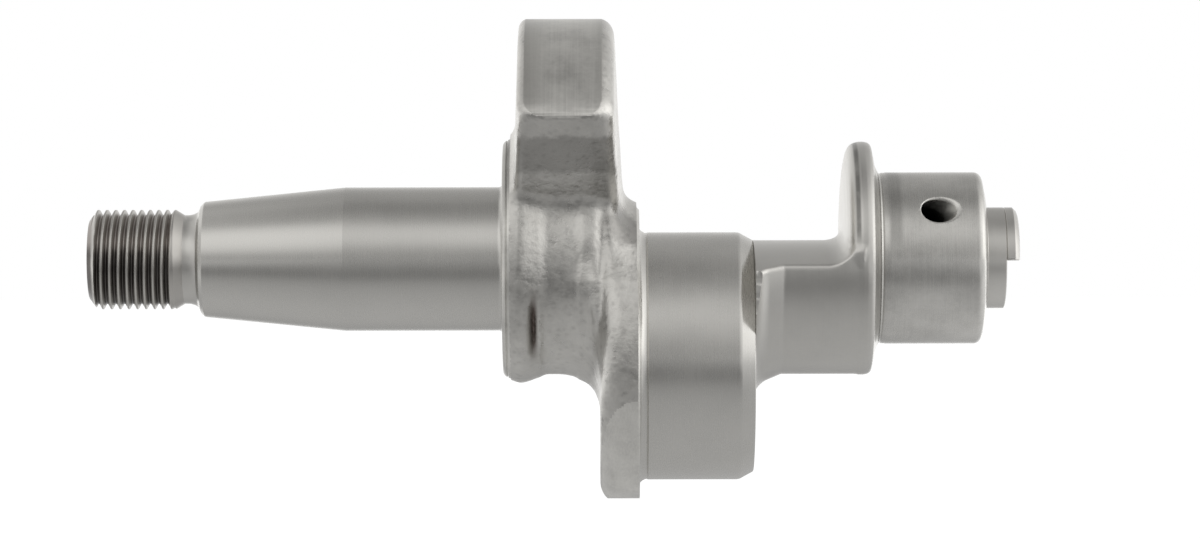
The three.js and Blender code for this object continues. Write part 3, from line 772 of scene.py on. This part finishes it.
def half_dog():
    body = lathe("half_dog", [(X_BOSS_END, BOSS_R), (X_DOG_END - 0.9, BOSS_R),
                              (X_DOG_END - 0.25, BOSS_R - 0.65), (X_DOG_END, BOSS_R - 1.3)],
                 smooth_deg=30, materials=[M_TURNED])
    bm = bmesh.new()
    bmesh.ops.create_cube(bm, size=0.06)
    for v in bm.verts:
        v.co.z -= 0.03
    mesh = bpy.data.meshes.new("lower_half")
    bm.to_mesh(mesh)
    bm.free()
    cutter = bpy.data.objects.new("lower_half", mesh)
    bpy.context.scene.collection.objects.link(cutter)
    for v in mesh.vertices:
        v.co.x += X_BOSS_END * MM
        v.co.z += DOG_FLAT * MM
    boolean(body, cutter, smooth_deg=30)
    mod = body.modifiers.new("edge", "BEVEL")
    mod.width = 0.28 * MM
    mod.segments = 3
    mod.limit_method = "ANGLE"
    mod.angle_limit = math.radians(50)
    return body


place(half_dog(), "turned_steel", "drive_dog")


# ---------------------------------------------------------------- studio
def curve(n, value, points):
    """Value looked up on a smooth curve through the given points."""
    node = n.add("ShaderNodeFloatCurve", i1=value)
    line = node.mapping.curves[0]
    for at, v in points:
        line.points.new(at, v)
    line.points.remove(line.points[0])
    line.points.remove(line.points[-1])
    node.mapping.update()
    return node.outputs[0]


def surroundings():
    """White to the camera; to the metal, a soft sky round the shaft with a few broad lamps."""
    world = bpy.data.worlds.new("studio")
    bpy.context.scene.world = world
    world.use_nodes = True
    n = Nodes(world.node_tree)
    way = n.vec("NORMALIZE", n.add("ShaderNodeTexCoord").outputs["Generated"]).outputs[0]

    def lobe(direction, inner, outer, strength):
        d = Vector(direction).normalized()
        c = n.add("ShaderNodeVectorMath", _operation="DOT_PRODUCT", i0=way, i1=tuple(d)).outputs["Value"]
        return n.remap(c, math.cos(math.radians(outer)), math.cos(math.radians(inner)), 0.0, strength, True)

    # brightness round the shaft: straight ahead is 0, overhead is a quarter turn, behind is half a turn
    parts = n.add("ShaderNodeSeparateXYZ", i0=way)
    height = n.math("MAXIMUM", parts.outputs[2], 0.0)
    turn = n.math("ARCTAN2", height, n.math("MULTIPLY", parts.outputs[1], -1.0))
    total = curve(n, n.math("DIVIDE", turn, math.pi), SKY)
    for lamp in LAMPS:
        total = n.math("ADD", total, lobe(*lamp))
    total = n.math("MAXIMUM", total, 0.02)
    studio_light = n.add("ShaderNodeBackground", Strength=total)
    studio_light.inputs["Color"].default_value = (1.0, 0.995, 0.985, 1)
    white = n.add("ShaderNodeBackground")
    white.inputs["Color"].default_value = (1, 1, 1, 1)
    white.inputs["Strength"].default_value = 1.0
    seen = n.add("ShaderNodeLightPath").outputs["Is Camera Ray"]
    both = n.add("ShaderNodeMixShader", i0=seen, i1=studio_light.outputs[0], i2=white.outputs[0])
    out = n.add("ShaderNodeOutputWorld")
    n.tree.links.new(both.outputs[0], out.inputs[0])


def white_floor():
    """White to the camera; to the metal, as bright as FLOOR_GLOW and a little brighter past both ends."""
    mesh = bpy.data.meshes.new("floor")
    reach = 6.0
    z = FLOOR_Z * MM - 0.0002
    corners = [(-reach, -reach, z), (reach, -reach, z), (reach, reach, z), (-reach, reach, z)]
    mesh.from_pydata(corners, [], [(0, 1, 2, 3)])
    floor = bpy.data.objects.new("floor", mesh)
    bpy.context.scene.collection.objects.link(floor)
    mat = bpy.data.materials.new("floor_white")
    mat.use_nodes = True
    n = Nodes(mat.node_tree)
    at = n.add("ShaderNodeTexCoord").outputs["Object"]
    x, y = n.add("ShaderNodeSeparateXYZ", i0=at).outputs[:2]
    mottled = n.noise(at, 3.0)
    glow = curve(n, n.remap(y, -0.30, 0.10, 0.0, 1.0), FLOOR_GLOW)
    glow = n.math("ADD", glow, n.math("ADD", n.remap(x, 0.055, 0.16, 0.0, 0.42, True),
                                      n.remap(x, -0.11, -0.25, 0.0, 0.30, True)))
    seen = n.add("ShaderNodeLightPath").outputs["Is Camera Ray"]
    strength = n.math("ADD", n.math("MULTIPLY", seen, 0.97),
                      n.math("MULTIPLY", n.math("SUBTRACT", 1.0, seen), glow))
    emit = n.add("ShaderNodeEmission", Strength=strength)
    greys = n.ramp(mottled, [(0.3, (0.11, 0.11, 0.11)), (0.7, (0.13, 0.13, 0.13))])
    paint = n.add("ShaderNodeBsdfDiffuse", Color=greys)
    both = n.add("ShaderNodeAddShader", i0=emit.outputs[0], i1=paint.outputs[0])
    out = n.add("ShaderNodeOutputMaterial")
    n.tree.links.new(both.outputs[0], out.inputs[0])
    mesh.materials.append(mat)


def camera():
    """Square to the shaft, far enough off that the two ends are seen almost side on."""
    cam = bpy.data.cameras.new("camera")
    obj = bpy.data.objects.new("camera", cam)
    bpy.context.scene.collection.objects.link(obj)
    distance = 0.9125
    width_in_view = 0.219
    cam.sensor_width = 36.0
    cam.lens = cam.sensor_width * distance / width_in_view
    cam.clip_end = 50
    obj.location = (0.00849, -distance, -0.00189)
    obj.rotation_euler = (math.radians(90), math.radians(0.12), 0)
    bpy.context.scene.camera = obj


# brightness over half turns from straight ahead, up and over to straight behind
SKY = [(0.0, 0.37), (0.11, 0.50), (0.20, 0.56), (0.28, 0.58), (0.34, 0.50), (0.42, 0.36), (0.51, 0.29),
       (0.61, 0.40), (0.78, 0.50), (0.90, 0.62), (1.0, 0.95)]
# soft lamps: direction, the cone's inner and outer half-angles in degrees, strength
LAMPS = [
    ((-0.42, -0.72, 0.55), 6, 32, 0.48),
    ((-0.93, -0.36, 0.10), 10, 34, 0.30),
    ((-0.75, 0.10, 0.66), 12, 45, 0.35),
    ((-0.55, 0.83, 0.05), 10, 45, 0.40),
    ((0.84, -0.42, 0.34), 10, 58, 0.58),
    ((0.45, 0.88, 0.06), 8, 36, 0.25),
    ((0.75, 0.15, 0.65), 12, 50, 0.30),
    ((1.0, 0.05, 0.0), 12, 45, 0.60),
]
# brightness of the floor as the metal sees it, from 300 mm in front to 100 mm behind
FLOOR_GLOW = [(0.0, 0.28), (0.25, 0.23), (0.41, 0.16), (0.525, 0.15), (0.59, 0.30), (0.6875, 0.44),
              (0.75, 0.49), (0.88, 0.38), (1.0, 0.40)]

bpy.context.scene.view_settings.view_transform = "Standard"
surroundings()
white_floor()
camera()
